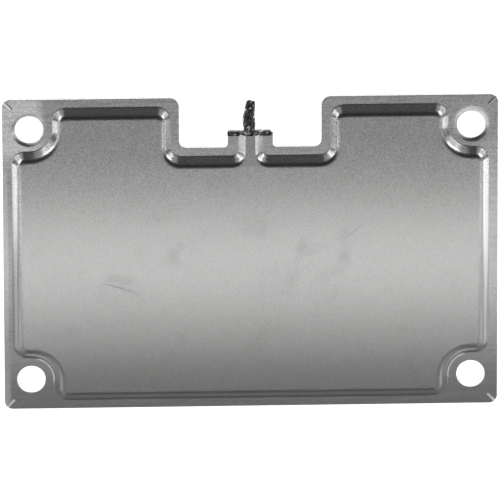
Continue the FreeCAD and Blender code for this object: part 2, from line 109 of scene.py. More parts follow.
def pick(kind, test):
    """Select only the points, edges or faces of the mesh in edit mode that pass a test."""
    bpy.ops.mesh.select_mode(type="VERT")
    bpy.ops.mesh.select_all(action="DESELECT")
    bpy.ops.mesh.select_mode(type=kind)
    mesh = bmesh.from_edit_mesh(bpy.context.object.data)
    chosen = [item for item in getattr(mesh, PICKED[kind]) if test(item)]
    for item in chosen:
        item.select_set(True)
    mesh.select_flush_mode()
    bmesh.update_edit_mesh(bpy.context.object.data)
    return len(chosen)


def middle(item):
    """The middle of an edge or of a face."""
    return sum((corner.co for corner in item.verts), Vector()) / len(item.verts)


def start_flat(name, half_x, half_y, level):
    """Add a flat rectangle and stay in edit mode."""
    bpy.ops.object.select_all(action="DESELECT")
    bpy.ops.mesh.primitive_plane_add(size=2)
    piece = bpy.context.object
    piece.name = name
    bpy.ops.object.mode_set(mode="EDIT")
    bpy.ops.transform.resize(value=(half_x, half_y, 1))
    bpy.ops.transform.translate(value=(0, 0, level))
    return piece


def select_only(piece):
    """Select one piece and make it the one that operators act on."""
    bpy.ops.object.select_all(action="DESELECT")
    piece.select_set(True)
    bpy.context.view_layer.objects.active = piece


def join(pieces, target):
    """Join pieces into one of them."""
    select_only(target)
    for piece in pieces:
        piece.select_set(True)
    bpy.ops.object.join()


def to_metres(piece):
    """Shrink a finished piece, which leaves its object at the origin, unturned and unscaled."""
    select_only(piece)
    piece.scale = (0.001, 0.001, 0.001)
    bpy.ops.object.transform_apply(location=True, rotation=True, scale=True)


def apply_modifier(piece, kind, **settings):
    """Add a modifier with its settings and apply it at once."""
    modifier = piece.modifiers.new(kind.title(), kind)
    for name, value in settings.items():
        setattr(modifier, name, value)
    bpy.ops.object.modifier_apply(modifier=modifier.name)


def soft_share(value):
    """A share from 0 to 1 that starts and ends softly."""
    share = min(1, max(0, value))
    return share * share * (3 - 2 * share)


# %% [markdown]
# ## Outlines with rounded corners
#
# Both outlines, the blanked edge of the sheets and the foot of the pressed pan, are level and upright
# lines with a rounded corner wherever they turn. A rectangle is cut along those lines, the parts outside
# are deleted, and the rest is dissolved into one face. Bevelling a corner point then rounds it, and the
# bevel's width is the corner's radius, because the corners are square.

# %% Cut an outline and round its corners
PLATE_X, PLATE_Y = 52.75, 34.70
NOTCH_X, NOTCH_Y = 15.10, 23.60
TAB_X, TAB_Y = 4.85, 26.50
TAB_DRAWN_TO, NECK_DRAWN_TO = 33, 31
CORNER_R, MOUTH_R, NOTCH_R, TAB_ROOT_R = 1.8, 2.0, 1.5, 0.7
HOLE_X, HOLE_Y, HOLE_R = 47.00, 28.00, 3.00
SHEET = 0.70
JOINT, FLANGE = SHEET, 2 * SHEET


def cut_outline(x_lines, y_lines, outside):
    """Bisect the flat rectangle along lines, delete what lies outside and dissolve the rest to one face."""
    for normal, lines in (((1, 0, 0), x_lines), ((0, 1, 0), y_lines)):
        for line in lines:
            bpy.ops.mesh.select_all(action="SELECT")
            bpy.ops.mesh.bisect(plane_co=[part * line for part in normal], plane_no=normal, threshold=1e-5)
    pick("FACE", lambda face: outside(abs(middle(face).x), middle(face).y))
    bpy.ops.mesh.delete(type="FACE")
    bpy.ops.mesh.select_all(action="SELECT")
    bpy.ops.mesh.dissolve_limited(angle_limit=0.01)


def round_corners(corners, segments=14):
    """Bevel the corner points at x, y and their mirror images, each with its radius."""
    for x, y, radius in corners:
        pick("VERT", lambda point: (abs(point.co.x) - x) ** 2 + (point.co.y - y) ** 2 < 1e-4)
        bpy.ops.mesh.bevel(offset=radius, segments=segments, affect="VERTICES", clamp_overlap=False)


def plate_outline(name, level):
    """The blanked outline of both sheets, with its tab drawn too long, so that it can be cut off square."""
    piece = start_flat(name, PLATE_X, PLATE_Y, level)
    cut_outline(
        (-NOTCH_X, -TAB_X, TAB_X, NOTCH_X),
        (NOTCH_Y, TAB_DRAWN_TO),
        lambda x, y: (TAB_X < x < NOTCH_X and y > NOTCH_Y) or (x < TAB_X and y > TAB_DRAWN_TO),
    )
    round_corners(
        (
            (PLATE_X, PLATE_Y, CORNER_R),
            (PLATE_X, -PLATE_Y, CORNER_R),
            (NOTCH_X, PLATE_Y, MOUTH_R),
            (NOTCH_X, NOTCH_Y, NOTCH_R),
            (TAB_X, NOTCH_Y, TAB_ROOT_R),
        )
    )
    return piece


# %% [markdown]
# ## Holes with a rim
#
# A screw hole starts as a ring of 72 edges. More rings are extruded from it, each wider than the last. They
# carry the shallow dish that the punch left round the two holes at the back, which is deepest towards the
# outer front side. The flange is then filled between all the loops in one go.

# %% Rings round the screw holes
HOLES = [(x, y) for x in (-HOLE_X, HOLE_X) for y in (-HOLE_Y, HOLE_Y)]
RINGS = (3.12, 3.27, 3.42, 3.57, 3.72, 3.88, 4.08, 4.27, 4.45)
DISH_R, DISH_WIDTH = 3.88, 0.76
WIDE_DISH_R, WIDE_DISH_WIDTH, WIDE_DISH_DEPTH = 4.45, 1.33, 0.08
LEAST_DEPTH, ADDED_DEPTH = 0.04, 0.24


def add_hole(x, y, level, radii=()):
    """A ring of edges at a hole, with wider rings round it."""
    bpy.ops.mesh.select_all(action="DESELECT")
    bpy.ops.mesh.primitive_circle_add(vertices=72, radius=HOLE_R, fill_type="NOTHING", location=(x, y, level))
    last = HOLE_R
    for radius in radii:
        bpy.ops.mesh.extrude_edges_move()
        bpy.ops.transform.resize(value=(radius / last, radius / last, 1), center_override=(x, y, level))
        last = radius


def press_dishes():
    """Lower the rings round the two holes at the back, most of all on their outer front side."""
    mesh = bmesh.from_edit_mesh(bpy.context.object.data)
    for point in mesh.verts:
        for x, y in HOLES:
            away = Vector((point.co.x - x, point.co.y - y))
            if away.length > WIDE_DISH_R + 0.15 or y < 0:
                continue
            outer_front = Vector((math.copysign(0.66, x), -0.75)).dot(away.normalized())
            depth = LEAST_DEPTH + ADDED_DEPTH * max(0, outer_front) ** 1.5
            point.co.z -= depth * soft_share((DISH_R - away.length) / DISH_WIDTH)
            if x > 0:
                point.co.z -= WIDE_DISH_DEPTH * soft_share((WIDE_DISH_R - away.length) / WIDE_DISH_WIDTH)
    bmesh.update_edit_mesh(bpy.context.object.data)


def near_hole(point, radius):
    """Whether a point lies at that distance from the middle of a hole."""
    return any(abs(math.hypot(point.x - x, point.y - y) - radius) < 0.02 for x, y in HOLES)


def fill_between(level):
    """Fill flat between all the open loops at one height, apart from the rims of the holes."""
    pick(
        "EDGE",
        lambda edge: len(edge.link_faces) < 2
        and all(abs(point.co.z - level) < 0.001 for point in edge.verts)
        and not (edge.link_faces and near_hole(edge.verts[0].co, HOLE_R)),
    )
    bpy.ops.mesh.fill(use_beauty=True)


def cut_tab():
    """Cut the tab off square at its end."""
    tab_side, tab_root = 5.5, 24
    pick(
        "FACE",
        lambda face: all(abs(point.co.x) < tab_side for point in face.verts)
        and face.calc_center_bounds().y > tab_root,
    )
    bpy.ops.mesh.bisect(plane_co=(0, TAB_Y, 0), plane_no=(0, 1, 0), clear_outer=True, threshold=1e-5)


# %% [markdown]
# ## The pressed shell
#
# The real shell is one sheet, pressed so that its middle rises by 1.6 mm on a 45 degree wall. The wall
# leaves the flange in a small curve and meets the top in a wider one. Here the face inside the outline is
# inset many times, each time by a small step inwards and a small step up, along that profile.

# %% Press the pan
FOOT_R, CROWN_R, RISE = 0.45, 2.20, 1.60
FOOT_STEPS, CROWN_STEPS = 5, 8
NECK_X, NECK_ROOT_Y, NECK_ROOT_R = 2.60, 21.65, 1.20
PAN_CORNER_R, BAY_R, PAN_NOTCH_R = 3.00, 4.90, 2.30
EIGHTH = math.pi / 4
SPREAD = FOOT_R * math.tan(EIGHTH / 2)


def wall_profile():
    """Points of the wall from the flange to the top, as distance inwards and height."""
    points = [(0, 0)]
    for step in range(1, FOOT_STEPS + 1):
        angle = EIGHTH * step / FOOT_STEPS
        points.append((FOOT_R * math.sin(angle), FOOT_R * (1 - math.cos(angle))))
    climb = RISE - points[-1][1] - CROWN_R * (1 - math.cos(EIGHTH))
    foot_end = points[-1]
    for share in (0.5, 1):
        points.append((foot_end[0] + climb * share, foot_end[1] + climb * share))
    start = points[-1]
    for step in range(1, CROWN_STEPS + 1):
        angle = EIGHTH * (1 - step / CROWN_STEPS)
        inwards = CROWN_R * (math.sin(EIGHTH) - math.sin(angle))
        up = CROWN_R * (math.cos(angle) - math.cos(EIGHTH))
        points.append((start[0] + inwards, start[1] + up))
    return points


def press_pan():
    """The pan and its neck, from the foot of the wall to the flat top."""
    right, back = 50.80 + SPREAD, 32.75 + SPREAD
    bay_x, bay_y = 42.10 + SPREAD, 23.10 + SPREAD
    notch_x, notch_y = 17.05 - SPREAD, NECK_ROOT_Y + SPREAD
    neck = NECK_X + SPREAD
    piece = start_flat("plate_shell", right, back, FLANGE)
    cut_outline(
        (-bay_x, -notch_x, -neck, neck, notch_x, bay_x),
        (-bay_y, notch_y, bay_y, NECK_DRAWN_TO),
        lambda x, y: (x > bay_x and abs(y) > bay_y)
        or (neck < x < notch_x and y > notch_y)
        or (x < neck and y > NECK_DRAWN_TO),
    )
    outer = PAN_CORNER_R + SPREAD
    round_corners(
        (
            (bay_x, -back, outer),
            (right, -bay_y, outer),
            (right, bay_y, outer),
            (bay_x, back, outer),
            (notch_x, back, outer),
            (bay_x, -bay_y, BAY_R - SPREAD),
            (bay_x, bay_y, BAY_R - SPREAD),
            (notch_x, notch_y, PAN_NOTCH_R - SPREAD),
            (neck, notch_y, NECK_ROOT_R - SPREAD),
        )
    )
    pick("FACE", lambda face: True)
    profile = wall_profile()
    for (inwards, up), (last_inwards, last_up) in zip(profile[1:], profile):
        bpy.ops.mesh.inset(
            thickness=inwards - last_inwards, depth=up - last_up, use_even_offset=True, use_boundary=True
        )
    return piece


def inwards_at(height, radius):
    """How far inwards the wall reaches a height when its crown has another radius."""
    on_wall = FOOT_R * math.sin(EIGHTH) + height - FOOT_R * (1 - math.cos(EIGHTH))
    start = RISE - radius * (1 - math.cos(EIGHTH))
    if height <= start:
        return on_wall
    angle = math.acos(min(1, math.cos(EIGHTH) + (height - start) / radius))
    return on_wall - (height - start) + radius * (math.sin(EIGHTH) - math.sin(angle))


def tighten_neck_crown(radius=0.30):
    """Draw the rings of the crown outwards along the neck, where the press left a tighter bend."""
    root = NECK_ROOT_R - SPREAD
    centre_x, centre_y = NECK_X + NECK_ROOT_R, NECK_ROOT_Y + NECK_ROOT_R
    crown_from, neck_from = 0.97, 18.5
    mesh = bmesh.from_edit_mesh(bpy.context.object.data)
    for point in mesh.verts:
        height = point.co.z - FLANGE
        x, y = abs(point.co.x), point.co.y
        if height < crown_from or x > centre_x or y < neck_from:
            continue
        wanted = inwards_at(height, radius)
        side = math.copysign(1, point.co.x)
        if y > centre_y:
            point.co.x = side * (NECK_X + SPREAD - wanted)
            continue
        away = Vector((x - centre_x, y - centre_y))
        turn = math.atan2(-away.x, -away.y) / (math.pi / 2)
        reach = away.length + (root + wanted - away.length) * soft_share(turn)
        away = away.normalized() * reach
        point.co.x = side * (centre_x + away.x)
        point.co.y = centre_y + away.y
    bmesh.update_edit_mesh(bpy.context.object.data)


def lower_neck():
    """Bisect across the root of the neck and lower what lies beyond each cut a little further."""
    stations, start, ramp, low_share = 9, 19.0, 6.4, 0.93
    beside_neck, neck_side = 9, 3.4
    for step in range(stations):
        y = start + ramp * step / (stations - 1)
        pick("FACE", lambda face: abs(middle(face).x) < beside_neck and middle(face).z > FLANGE + 0.01)
        bpy.ops.mesh.bisect(plane_co=(0, y, 0), plane_no=(0, 1, 0), threshold=1e-5)
    for step in range(stations - 1):
        y = start + ramp * step / (stations - 1)
        pick("VERT", lambda point: abs(point.co.x) < neck_side and point.co.y > y + 0.01)
        share = low_share ** (1 / (stations - 1))
        bpy.ops.transform.resize(value=(1, 1, share), center_override=(0, 0, FLANGE))


shell = press_pan()
tighten_neck_crown()
lower_neck()
print("The pan has", len(bmesh.from_edit_mesh(shell.data).verts), "points")

# %% [markdown]
# ## The flange of the shell
#
# The blanked outline is made as an object of its own, its face is taken away, and its edges are joined to
# the pan. Filling between the loops makes the flange. Solidify then gives the whole pressing the thickness
# of the real sheet, downwards, and the edges that the punch rolled over are bevelled.

# %% Add the flange and give the sheet its thickness
bpy.ops.object.mode_set(mode="OBJECT")
outline = plate_outline("outline", FLANGE)
bpy.ops.mesh.select_all(action="SELECT")
bpy.ops.mesh.delete(type="ONLY_FACE")
for x, y in HOLES:
    add_hole(x, y, FLANGE, RINGS)
press_dishes()
bpy.ops.object.mode_set(mode="OBJECT")
join([outline], shell)
bpy.ops.object.mode_set(mode="EDIT")
fill_between(FLANGE)
cut_tab()
bpy.ops.mesh.select_all(action="SELECT")
bpy.ops.mesh.remove_doubles(threshold=1e-4)
bpy.ops.mesh.normals_make_consistent(inside=False)
bpy.ops.object.mode_set(mode="OBJECT")
apply_modifier(
    shell, "SOLIDIFY", thickness=SHEET, offset=-1, use_even_offset=True, use_quality_normals=True
)
bpy.ops.object.mode_set(mode="EDIT")
print("Points pressed flat on the base:", pick("VERT", lambda point: point.co.z < JOINT - 0.0005))
bpy.ops.transform.resize(value=(1, 1, 0), center_override=(0, 0, JOINT))
bpy.ops.object.mode_set(mode="OBJECT")
print("The shell has", len(shell.data.polygons), "faces")

# %% [markdown]
# ## Rolled edges
#
# A punch rolls over the edge that it enters, so the upper rim of each hole and the upper edge of the
# outline are soft. Where the two sheets meet, a fine line stays open between them.

# %% Bevel the edges of the shell
RIM_ROLL, EDGE_ROLL, JOINT_BEVEL = 0.11, 0.15, 0.05


def bevel_edges(test, width, segments):
    """Bevel the edges that pass a test."""
    found = pick("EDGE", test)
    bpy.ops.mesh.bevel(offset=width, segments=segments, affect="EDGES", clamp_overlap=False)
    return found


def on_rim(edge):
    """Whether an edge is one of those round the top of a screw hole."""
    return all(near_hole(point.co, HOLE_R) and point.co.z > JOINT + 0.3 for point in edge.verts)


def outline_at(level):
    """A test for the sharp edges of the blanked outline at one height."""
    def test(edge):
        if len(edge.link_faces) != 2 or any(abs(p.co.z - level) > 0.01 for p in edge.verts):
            return False
        ups = sorted(abs(face.normal.z) for face in edge.link_faces)
        return ups[0] < 0.1 and ups[1] > 0.9 and not near_hole(edge.verts[0].co, HOLE_R)
    return test


bpy.ops.object.mode_set(mode="EDIT")
print("Rim edges:", bevel_edges(on_rim, RIM_ROLL, 3))
print("Outline edges:", bevel_edges(outline_at(FLANGE), EDGE_ROLL, 3))
print("Joint edges:", bevel_edges(outline_at(JOINT), JOINT_BEVEL, 1))
bpy.ops.object.mode_set(mode="OBJECT")

# %% [markdown]
# ## Staking marks
#
# A blunt chisel was driven into each corner, along its diagonal, to hold the two sheets together before
# they were bonded. Four square bars laid on edge stand for the chisel. A Boolean cuts all the grooves at
# once, and they run out through the rolled edge of the outline.

# %% Cut a groove in each corner
BAR_START, BAR_LENGTH, BAR_SIDE = 2.083, 4.0, 0.424
back = BAR_START - BAR_LENGTH / 2 / math.sqrt(2)
bars = []
for x in (-1, 1):
    for y in (-1, 1):
        bpy.ops.mesh.primitive_cube_add(
            size=1,
            location=(x * (PLATE_X - back), y * (PLATE_Y - back), FLANGE),
            rotation=(math.radians(45), 0, math.atan2(y, x)),
            scale=(BAR_LENGTH, BAR_SIDE, BAR_SIDE),
        )
        bars.append(bpy.context.object)
chisel = bars[-1]
join(bars, chisel)
select_only(shell)
apply_modifier(shell, "BOOLEAN", operation="DIFFERENCE", object=chisel, solver="MANIFOLD")
bpy.data.objects.remove(chisel)
print("The marked shell has", len(shell.data.polygons), "faces")

# %% [markdown]
# ## The base sheet
#
# The base is blanked to the same outline from a flat sheet. A flat face has no inside, so its normal may
# point either way, and the sheet's thickness goes to whichever side is up. Its edges are treated in the
# same way as the shell's, with the roll on the side that it rests on.

# %% Make the base sheet
base = plate_outline("plate_base", 0)
bpy.ops.mesh.select_all(action="SELECT")
bpy.ops.mesh.delete(type="ONLY_FACE")
for x, y in HOLES:
    add_hole(x, y, 0)
bpy.ops.mesh.select_all(action="SELECT")
bpy.ops.mesh.fill(use_beauty=True)
cut_tab()
bpy.ops.mesh.select_all(action="SELECT")
bpy.ops.mesh.normals_make_consistent(inside=False)
bpy.ops.object.mode_set(mode="OBJECT")
upwards = 1 if base.data.polygons[0].normal.z > 0 else -1
apply_modifier(base, "SOLIDIFY", thickness=JOINT, offset=upwards, use_even_offset=True)
bpy.ops.object.mode_set(mode="EDIT")
bpy.ops.mesh.select_all(action="SELECT")
bpy.ops.mesh.normals_make_consistent(inside=False)
print("Outline edges:", bevel_edges(outline_at(0), EDGE_ROLL, 3))
print("Joint edges:", bevel_edges(outline_at(JOINT), JOINT_BEVEL, 1))
bpy.ops.object.mode_set(mode="OBJECT")
print("The base has", len(base.data.polygons), "faces")

# %% [markdown]
# ## The resin seal
#
# The end of the fill tube is pinched shut and dipped in black resin, which ran along the end of the tab and
# set in lumps. A ring of points is extruded along the tube, wider or narrower from station to station. Each
# station gives its y and x, and half the width and height of the ring.

# %% Lay the resin along the tube
STATIONS = (
    (26.10, -0.08, 1.70, 0.92),
    (26.90, -0.12, 1.62, 0.94),
    (27.25, -0.16, 1.34, 0.88),
    (27.80, -0.20, 1.20, 0.86),
    (28.60, -0.24, 1.30, 0.92),
    (29.50, -0.30, 1.36, 0.95),
    (30.40, -0.34, 1.28, 0.92),
    (31.20, -0.20, 1.14, 0.82),
    (32.00, -0.08, 1.10, 0.76),
    (32.90, -0.02, 1.08, 0.70),
    (33.45, 0.04, 0.90, 0.56),
)
TUBE_Z = 1.40
bpy.ops.object.select_all(action="DESELECT")
y, x, half_width, half_height = STATIONS[0]
bpy.ops.mesh.primitive_circle_add(
    vertices=32, radius=1, fill_type="NGON", location=(x, y, TUBE_Z), rotation=(math.radians(90), 0, 0)
)
seal = bpy.context.object
seal.name = "resin_skin"
bpy.ops.object.transform_apply(location=True, rotation=True, scale=True)
bpy.ops.object.mode_set(mode="EDIT")
bpy.ops.mesh.select_all(action="SELECT")
bpy.ops.transform.resize(value=(half_width, 1, half_height), center_override=(x, y, TUBE_Z))
for (y, x, half_width, half_height), last in zip(STATIONS[1:], STATIONS):
    bpy.ops.mesh.extrude_region_move(TRANSFORM_OT_translate={"value": (x - last[1], y - last[0], 0)})
    bpy.ops.transform.resize(
        value=(half_width / last[2], 1, half_height / last[3]), center_override=(x, y, TUBE_Z)
    )
bpy.ops.mesh.select_all(action="SELECT")
bpy.ops.mesh.normals_make_consistent(inside=False)
bpy.ops.object.mode_set(mode="OBJECT")
print("The sleeve has", len(seal.data.polygons), "faces")

# %% [markdown]
# ## The bead and the drops
#
# Two rounded bars stand for the bead along the end of the tab. Balls stand for the drops on the bead, along
# the tube and at its tip. Each has a middle and half its length, depth and height.

# %% Add the bead and the drops
LUMPS = (
    ("bar", (-2.55, 26.56, 0.88), (2.32, 0.50, 0.74)),
    ("bar", (2.35, 26.60, 0.88), (2.05, 0.54, 0.74)),
    ("ball", (4.30, 26.52, 0.90), (0.60, 0.46, 0.72)),
    ("ball", (-2.60, 26.30, 1.55), (0.46, 0.30, 0.24)),
    ("ball", (1.75, 26.34, 1.62), (0.85, 0.34, 0.36)),
    ("ball", (1.45, 26.85, 1.55), (0.70, 0.55, 0.55)),
    ("ball", (-1.70, 26.78, 1.50), (0.62, 0.50, 0.55)),
    ("ball", (-0.22, 33.48, 1.42), (0.68, 0.70, 0.54)),
    ("ball", (0.60, 33.38, 1.38), (0.48, 0.56, 0.44)),
    ("ball", (-1.02, 30.20, 1.75), (0.45, 0.80, 0.45)),
    ("ball", (0.62, 28.90, 1.85), (0.45, 0.90, 0.40)),
)
parts = [seal]
for kind, place, half in LUMPS:
    if kind == "bar":
        bpy.ops.mesh.primitive_cube_add(size=2, location=place, scale=half)
        bar = bpy.context.object
        bpy.ops.object.transform_apply(location=True, rotation=True, scale=True)
        apply_modifier(bar, "BEVEL", width=0.16, segments=3, limit_method="ANGLE")
    else:
        bpy.ops.mesh.primitive_uv_sphere_add(segments=24, ring_count=16, radius=1, location=place, scale=half)
        bpy.ops.object.transform_apply(location=True, rotation=True, scale=True)
    parts.append(bpy.context.object)
join(parts, seal)
print("The seal has", len(parts), "parts")

# %% [markdown]
# ## One skin of resin
#
# A voxel remesh melts the parts into one skin, and two Displace modifiers give it the swells and pits of set
# resin. A block the size of the tab then cuts away what would sink into the sheets.

# %% Melt the lumps into one skin
VOXEL = 0.06
apply_modifier(seal, "REMESH", mode="VOXEL", voxel_size=VOXEL)
apply_modifier(seal, "SMOOTH", factor=0.5, iterations=6)
for size, strength in ((0.75, 0.14), (0.22, 0.06)):
    swells = bpy.data.textures.new("swells", "CLOUDS")
    swells.noise_scale = size
    swells.noise_depth = 1
    apply_modifier(seal, "DISPLACE", texture=swells, strength=strength, mid_level=0.5)
    bpy.data.textures.remove(swells)
bpy.ops.mesh.primitive_cube_add(size=2, location=(0, 24.0, 0.45), scale=(5.4, 2.5, 0.95))
tab_room = bpy.context.object
bpy.ops.object.transform_apply(location=True, rotation=True, scale=True)
select_only(seal)
apply_modifier(seal, "BOOLEAN", operation="DIFFERENCE", object=tab_room, solver="EXACT")
bpy.data.objects.remove(tab_room)
print("The resin has", len(seal.data.polygons), "faces")

# %% [markdown]
# ## Smooth shading
#
# Faces are shaded smooth, with a crease wherever two faces meet at more than 30 degrees. Weighted normals
# then let the large flat faces keep their direction, so that only the curves between them bend the light.

# %% Shade the sheets
def shade(piece, crease=30):
    """Shade a piece smooth up to the crease angle, and keep its flat faces flat."""
    select_only(piece)
    bpy.ops.object.shade_smooth_by_angle(angle=math.radians(crease))
    apply_modifier(piece, "WEIGHTED_NORMAL", keep_sharp=True, weight=100)


for sheet in (shell, base):
    shade(sheet)
    to_metres(sheet)
select_only(seal)
bpy.ops.object.shade_smooth()
to_metres(seal)
print("The plate is", round(shell.dimensions.x * 1000, 1), "mm long")

# %% [markdown]
# ## Finishes
#
# Every finish is built from shader nodes on object coordinates, so it stays with the metal and needs no
# pictures. A small helper makes the material. It returns a function that adds a node, sets it up and links
# whatever output it is given, so that a finish reads as a list of steps. An input named n0 or n1 is the
# first or second socket of a node whose sockets share one name.

# %% A helper for shader nodes
def start_material(name, **sockets):
    """A material with one shader, and a function that adds a node and links what it is given."""
    material = bpy.data.materials.new(name)
    material.use_nodes = True
    tree = material.node_tree
    shader = tree.nodes["Principled BSDF"]
    for socket, value in sockets.items():
        shader.inputs[socket.replace("_", " ")].default_value = value

    def add(kind, settings=None, **inputs):
        node = tree.nodes.new("ShaderNode" + kind)
        for setting, value in (settings or {}).items():
            setattr(node, setting, value)
        for socket, value in inputs.items():
            key = int(socket[1:]) if socket[0] == "n" and socket[1:].isdigit() else socket.replace("_", " ")
            if isinstance(value, bpy.types.NodeSocket):
                tree.links.new(value, node.inputs[key])
            else:
                node.inputs[key].default_value = value
        return node

    return material, shader, add, tree.links.new


# %% [markdown]
# ## Nickel plate
#
# Satin nickel over pressed copper. The flats keep the fine grain of the rolled sheet, and the die rubbed the
# steps smoother. The flange was left free in the press and came out a little twisted, most of all at one
# corner, and a tilt of a few degrees is enough to make a metal mirror another part of the room. That twist
# is too small to model, so the shader leans the normal by it. Round the two holes at the front, a fine flat
# crease follows the foot of the wall, and it catches the light as a thin bright arc.

# %% Nickel: where each region lies
nickel, nickel_shader, add, link = start_material("nickel_plate", Metallic=1.0)
place = add("TexCoord").outputs["Object"]
along = add("SeparateXYZ", Vector=place)
at_x, at_y, at_z = (along.outputs[axis] for axis in "XYZ")
mm = 0.001


def maths(operation, first, second=0.0, third=None):
    """A Math node on two or three values."""
    inputs = {"n0": first, "n1": second}
    if third is not None:
        inputs["n2"] = third
    return add("Math", {"operation": operation}, **inputs).outputs["Value"]


def between(value, low, high):
    """A soft ramp from 0 to 1 while a value in metres goes from low to high, both in millimetres."""
    soft = {"interpolation_type": "SMOOTHSTEP"}
    ramp = add("MapRange", soft, Value=value, From_Min=low * mm, From_Max=high * mm)
    return ramp.outputs["Result"]


def all_of(*masks):
    """Where every one of several masks is on."""
    product = masks[0]
    for mask in masks[1:]:
        product = maths("MULTIPLY", product, mask)
    return product


on_flange = between(at_z, 1.48, 1.40)
on_step = all_of(between(at_z, 1.42, 1.60), between(at_z, 2.98, 2.80))
far_left = between(at_x, -42.5, -46.5)
far_right = between(at_x, 46.5, 49.5)
back_part = between(at_y, 4, 24)
# Painted shade: the front of the plate, which the colour below darkens.
painted_front_shade = between(at_y, -19, -27)
# Painted sheen: the side faces of both sheets, which the colour below makes paler.
sheared = all_of(between(at_z, 1.40, 1.30), between(at_z, 0.2, 0.4))
# Painted shade: a thin dark band on the flange along the foot of the left wall.
painted_foot_shade = all_of(
    between(at_x, -50.2, -50.9),
    between(at_x, -52.0, -51.4),
    between(at_z, 1.30, 1.38),
    between(at_y, 22, 17),
    between(at_y, -23, -17),
)
print("Regions: flange, steps, both ends, back, front, sheared edges and the foot of the left wall")

# %% Nickel: the twist of the flange
CORNER_LEAN, SIDE_LEAN, ROLLED_LEAN, RIGHT_LEAN = 0.085, 0.020, -0.065, 0.013
left_lean = maths("MULTIPLY", between(at_y, 20, 26), CORNER_LEAN)
left_lean = maths("MULTIPLY_ADD", between(at_y, 8, 30), SIDE_LEAN, left_lean)
rolled_down = all_of(between(at_y, -18, -36), between(at_x, -51.0, -52.0))
left_lean = maths("MULTIPLY_ADD", rolled_down, ROLLED_LEAN, left_lean)
right_lean = maths("MULTIPLY", between(at_y, -14, 8), RIGHT_LEAN)
lean = maths("ADD", maths("MULTIPLY", far_left, left_lean), maths("MULTIPLY", far_right, right_lean))
lean = maths("MULTIPLY", lean, on_flange)
lean = maths("MULTIPLY", lean, -1.0)
print("The flange leans by up to", round(math.degrees(CORNER_LEAN + SIDE_LEAN), 1), "degrees")

# %% Nickel: the crease round the front holes
CREASE_LEAN, CREASE_LIFT = 0.96, 12.0
half_x = maths("ABSOLUTE", at_x)
folded = add("CombineXYZ", X=half_x, Y=at_y)
front_hole = (HOLE_X * mm, -HOLE_Y * mm, 0)
away = add("VectorMath", {"operation": "DISTANCE"}, n0=folded.outputs["Vector"], n1=front_hole)
gap = away.outputs["Value"]
crease = all_of(
    between(gap, 4.62, 4.74),
    between(gap, 5.06, 4.94),
    between(at_z, 1.30, 1.38),
    between(at_y, -29, -27.5),
    between(half_x, 46.0, 44.8),
)
lean = maths("MULTIPLY_ADD", crease, CREASE_LEAN, lean)
tilt = add("CombineXYZ", Y=lean, Z=maths("MULTIPLY", crease, CREASE_LIFT))
flat_normal = add("NewGeometry")
leaned = add("VectorMath", {"operation": "ADD"}, n0=flat_normal.outputs["Normal"], n1=tilt.outputs["Vector"])
leaned = add("VectorMath", {"operation": "NORMALIZE"}, n0=leaned.outputs["Vector"])
print("A fine crease runs round the two front holes")

# %% [markdown]
# ## Handling marks
#
# A used plate carries a few fine scratches. A scratch is drawn by its distance from a line between two
# points: where the distance is small, the surface is cut in a little and the bare metal is brighter.

# %% Nickel: scratches and smudges
SCRATCHES = (
    ((-7.30, 18.44), (-5.67, 16.36), 0.13),
    ((-5.67, 16.36), (-4.06, 14.42), 0.13),
    ((-4.06, 14.42), (-1.34, 14.22), 0.13),
    ((30.74, -12.77), (36.73, -11.95), 0.08),
    ((13.26, 14.99), (14.32, 15.53), 0.09),
    ((14.32, 15.53), (15.39, 15.86), 0.09),
    ((-31.0, -6.2), (-24.5, -8.1), 0.05),
    ((21.0, 4.0), (24.6, 7.3), 0.05),
)


def scratch_mask(start, end, width):
    """How much a point lies on the line between two places, given in millimetres."""
    a = Vector((start[0] * mm, start[1] * mm, 0))
    b = Vector((end[0] * mm, end[1] * mm, 0))
    flat = add("VectorMath", {"operation": "MULTIPLY"}, n0=place, n1=(1, 1, 0))
    offset = add("VectorMath", {"operation": "SUBTRACT"}, n0=flat.outputs["Vector"], n1=a).outputs["Vector"]
    way = (b - a) / (b - a).length_squared
    share = add("VectorMath", {"operation": "DOT_PRODUCT"}, n0=offset, n1=way).outputs["Value"]
    share = add("Clamp", Value=share).outputs["Result"]
    foot = add("VectorMath", {"operation": "SCALE"}, n0=tuple(b - a), Scale=share).outputs["Vector"]
    gap = add("VectorMath", {"operation": "DISTANCE"}, n0=offset, n1=foot).outputs["Value"]
    return between(gap, width, width * 0.3)


scratched = 0.0
for start, end, width in SCRATCHES:
    scratched = maths("MAXIMUM", scratched, scratch_mask(start, end, width))
scratched = maths("MULTIPLY", scratched, between(at_z, 2.5, 2.9))
smudge_noise = add("TexNoise", Vector=place, Scale=160, Detail=3, Roughness=0.6)
smudged = add(
    "MapRange", Value=smudge_noise.outputs["Fac"], From_Min=0.56, From_Max=0.78, To_Min=0.0, To_Max=1.0
).outputs["Result"]
print("Scratches:", len(SCRATCHES))

# %% [markdown]
# ## Grain, colour and polish
#
# The rolled sheet has a grain finer than a tenth of a millimetre, and the plating drifts a little in tone
# from place to place. Along the flange the grain is drawn out into streaks. Few of these show as relief, so
# nearly all of them go into the colour. The colour also carries painted shade along the front and at the
# foot of the left wall, and a painted sheen on the side faces of the sheets.

